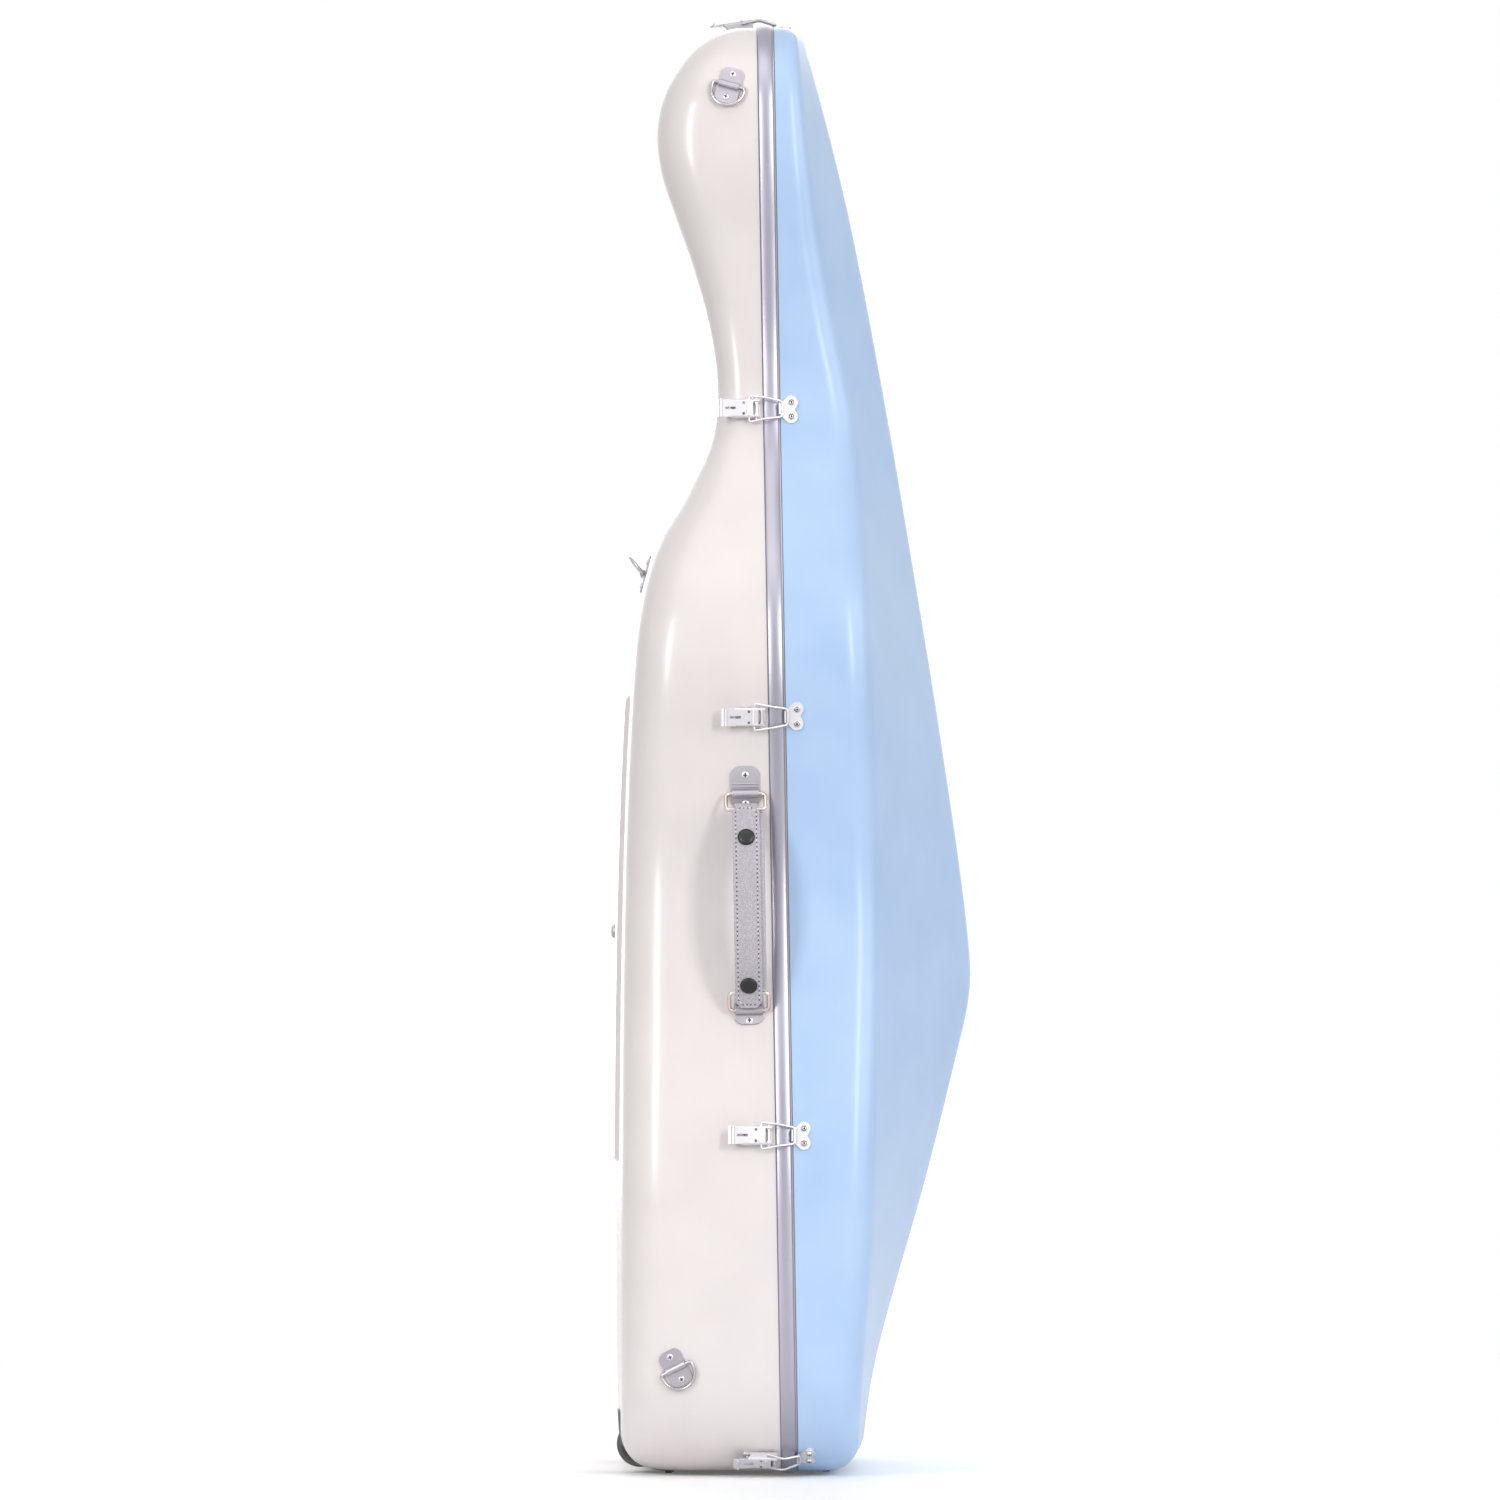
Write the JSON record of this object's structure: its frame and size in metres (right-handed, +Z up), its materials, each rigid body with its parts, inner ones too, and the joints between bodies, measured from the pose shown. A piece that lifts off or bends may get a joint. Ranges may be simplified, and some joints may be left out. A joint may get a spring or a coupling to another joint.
{
  "type": "cello hard case",
  "caption": "Upright cello hard case: two moulded shells with an aluminium rim, draw latches, side hinges, strap handle, strap rings and corner wheels.",
  "frame": {"origin": "middle of the bounding box at the level the case stands on", "axes": "+Z up along the case, -X the back shell, +X the lid, -Y the side with handle and latches, +Y the hinge side"},
  "size_m": [0.3408, 0.5034, 1.3805],
  "materials": {
    "cream_shell": "smooth semi-gloss moulded shell",
    "blue_shell": "smooth semi-gloss moulded shell",
    "aluminium_rim": "satin anodised extrusion",
    "nickel_steel": "satin nickel-plated pressings",
    "nickel_wire": "bright nickel-plated wire",
    "black_rubber": "matt rubber",
    "wheel_plastic": "matt grey moulding",
    "leather": "silver-grey grained leather, stitched",
    "plush": "short-pile plush over foam",
    "webbing": "woven webbing",
    "black_stud": "black domed stud"
  },
  "bodies": {
    "back": {"back_shell": "cream_shell", "back_frame": "aluminium_rim", "rim_seal": "black_rubber", "back_lining": "plush", "bottom_latch_base": "nickel_steel", "lower_latch_base": "nickel_steel", "upper_latch_base": "nickel_steel", "neck_latch_base": "nickel_steel", "top_latch_base": "nickel_steel", "upper_side_ring_plate": "nickel_steel", "lower_side_ring_plate": "nickel_steel", "far_side_ring_plate": "nickel_steel", "back_near_ring_plate": "nickel_steel", "back_other_ring_plate": "nickel_steel", "handle_upper_bracket": "nickel_steel", "handle_lower_bracket": "nickel_steel", "lower_hinge_back_leaf": "nickel_steel", "middle_hinge_back_leaf": "nickel_steel", "upper_hinge_back_leaf": "nickel_steel", "near_wheel_housing": "wheel_plastic", "far_wheel_housing": "wheel_plastic", "back_stud": "nickel_steel", "neck_cradle": "plush", "neck_strap": "webbing"},
    "lid": {"lid_shell": "blue_shell", "lid_frame": "aluminium_rim", "lid_lining": "plush", "bottom_latch_catch": "nickel_steel", "lower_latch_catch": "nickel_steel", "upper_latch_catch": "nickel_steel", "neck_latch_catch": "nickel_steel", "top_latch_catch": "nickel_steel", "lower_hinge_lid_leaf": "nickel_steel", "middle_hinge_lid_leaf": "nickel_steel", "upper_hinge_lid_leaf": "nickel_steel", "near_front_foot": "black_rubber", "far_front_foot": "black_rubber"},
    "bottom_lever": {"bottom_latch_lever": "nickel_steel"},
    "bottom_bail": {"bottom_latch_bail": "nickel_steel"},
    "lower_lever": {"lower_latch_lever": "nickel_steel"},
    "lower_bail": {"lower_latch_bail": "nickel_steel"},
    "upper_lever": {"upper_latch_lever": "nickel_steel"},
    "upper_bail": {"upper_latch_bail": "nickel_steel"},
    "neck_lever": {"neck_latch_lever": "nickel_steel"},
    "neck_bail": {"neck_latch_bail": "nickel_steel"},
    "top_lever": {"top_latch_lever": "nickel_steel"},
    "top_bail": {"top_latch_bail": "nickel_steel"},
    "upper_side_ring": {"upper_side_ring": "nickel_wire"},
    "lower_side_ring": {"lower_side_ring": "nickel_wire"},
    "far_side_ring": {"far_side_ring": "nickel_wire"},
    "back_near_ring": {"back_near_ring": "nickel_wire"},
    "back_other_ring": {"back_other_ring": "nickel_wire"},
    "handle": {"handle_strap": "leather", "handle_upper_snap": "black_stud", "handle_lower_snap": "black_stud"},
    "handle_upper_link": {"handle_upper_ring": "nickel_wire"},
    "handle_lower_link": {"handle_lower_ring": "nickel_wire"},
    "near_wheel": {"near_wheel": "black_rubber"},
    "far_wheel": {"far_wheel": "black_rubber"},
    "bow_clip": {"bow_clip": "nickel_steel"}
  },
  "joints": [
    {"name": "lid_opening", "type": "hinge", "parent": "back", "child": "lid", "pos_m": [-0.00744, 0.20343, 0.74886], "axis": [-0.0167, -0.0752, 0.997], "range_deg": [0, 105]},
    {"name": "bottom_latch_opening", "type": "hinge", "parent": "back", "child": "bottom_lever", "pos_m": [-0.01574, -0.18907, 0.01637], "axis": [0, -0.8419, 0.5397], "range_deg": [0, 120]},
    {"name": "bottom_bail_turn", "type": "hinge", "parent": "bottom_lever", "child": "bottom_bail", "pos_m": [-0.02274, -0.1889, 0.01662], "axis": [0, -0.8419, 0.5397], "range_deg": [-120, 0]},
    {"name": "lower_latch_opening", "type": "hinge", "parent": "back", "child": "lower_lever", "pos_m": [-0.0208, -0.24392, 0.32293], "axis": [0, 0.1452, 0.9894], "range_deg": [0, 120]},
    {"name": "lower_bail_turn", "type": "hinge", "parent": "lower_lever", "child": "lower_bail", "pos_m": [-0.0278, -0.24362, 0.32288], "axis": [0, 0.1452, 0.9894], "range_deg": [-120, 0]},
    {"name": "upper_latch_opening", "type": "hinge", "parent": "back", "child": "upper_lever", "pos_m": [-0.02737, -0.20881, 0.7138], "axis": [0, -0.1084, 0.9941], "range_deg": [0, 120]},
    {"name": "upper_bail_turn", "type": "hinge", "parent": "upper_lever", "child": "upper_bail", "pos_m": [-0.03437, -0.20852, 0.71384], "axis": [0, -0.1084, 0.9941], "range_deg": [-120, 0]},
    {"name": "neck_latch_opening", "type": "hinge", "parent": "back", "child": "neck_lever", "pos_m": [-0.03223, -0.10685, 1.00513], "axis": [0, 0.18, 0.9837], "range_deg": [0, 120]},
    {"name": "neck_bail_turn", "type": "hinge", "parent": "neck_lever", "child": "neck_bail", "pos_m": [-0.03923, -0.10656, 1.00508], "axis": [0, 0.18, 0.9837], "range_deg": [-120, 0]},
    {"name": "top_latch_opening", "type": "hinge", "parent": "back", "child": "top_lever", "pos_m": [-0.03834, -0.00527, 1.3739], "axis": [0, 1, 0], "range_deg": [0, 120]},
    {"name": "top_bail_turn", "type": "hinge", "parent": "top_lever", "child": "top_bail", "pos_m": [-0.04534, -0.00527, 1.3736], "axis": [0, 1, 0], "range_deg": [-120, 0]},
    {"name": "upper_side_ring_swing", "type": "hinge", "parent": "back", "child": "upper_side_ring", "pos_m": [-0.05794, -0.10733, 1.31114], "axis": [-0.9569, 0.1221, 0.2635], "range_deg": [0, 165]},
    {"name": "lower_side_ring_swing", "type": "hinge", "parent": "back", "child": "lower_side_ring", "pos_m": [-0.1078, -0.23615, 0.10496], "axis": [-0.8876, 0.098, -0.45], "range_deg": [0, 165]},
    {"name": "far_side_ring_swing", "type": "hinge", "parent": "back", "child": "far_side_ring", "pos_m": [-0.1078, 0.22562, 0.10496], "axis": [0.8876, 0.098, 0.45], "range_deg": [0, 165]},
    {"name": "back_near_ring_swing", "type": "hinge", "parent": "back", "child": "back_near_ring", "pos_m": [-0.13985, -0.05534, 0.85002], "axis": [-0.031, 0.9995, 0], "range_deg": [-118, 45]},
    {"name": "back_other_ring_swing", "type": "hinge", "parent": "back", "child": "back_other_ring", "pos_m": [-0.13985, 0.04481, 0.85002], "axis": [0.031, 0.9995, 0], "range_deg": [-118, 45]},
    {"name": "handle_lift", "type": "slide", "parent": "back", "child": "handle", "axis": [0, -0.9968, 0.0795], "range_m": [0, 0.004]},
    {"name": "handle_upper_link_turn", "type": "hinge", "parent": "back", "child": "handle_upper_link", "pos_m": [-0.04251, -0.19847, 0.64173], "axis": [-0.9999, -0.0013, -0.0167], "range_deg": [0, 16.69]},
    {"name": "handle_lower_link_turn", "type": "hinge", "parent": "back", "child": "handle_lower_link", "pos_m": [-0.03909, -0.2146, 0.43938], "axis": [0.9999, 0.0013, 0.0167], "range_deg": [0, 16.69]},
    {"name": "near_wheel_spin", "type": "hinge", "parent": "back", "child": "near_wheel", "pos_m": [-0.14225, -0.09327, 0.0273], "axis": [0, 1, 0], "continuous": true},
    {"name": "far_wheel_spin", "type": "hinge", "parent": "back", "child": "far_wheel", "pos_m": [-0.14225, 0.08274, 0.0273], "axis": [0, 1, 0], "continuous": true},
    {"name": "bow_clip_turn", "type": "hinge", "parent": "lid", "child": "bow_clip", "pos_m": [0.05343, -0.00527, 1.13325], "axis": [-0.981, 0, -0.1938], "range_deg": [-90, 90]}
  ],
  "couplings": [
    {"joint": "bottom_bail_turn", "follows": "bottom_latch_opening", "ratio": -1},
    {"joint": "lower_bail_turn", "follows": "lower_latch_opening", "ratio": -1},
    {"joint": "upper_bail_turn", "follows": "upper_latch_opening", "ratio": -1},
    {"joint": "neck_bail_turn", "follows": "neck_latch_opening", "ratio": -1},
    {"joint": "top_bail_turn", "follows": "top_latch_opening", "ratio": -1},
    {"joint": "handle_upper_link_turn", "follows": "handle_lift", "rad_per_m": 72.596},
    {"joint": "handle_lower_link_turn", "follows": "handle_lift", "rad_per_m": 72.596}
  ]
}
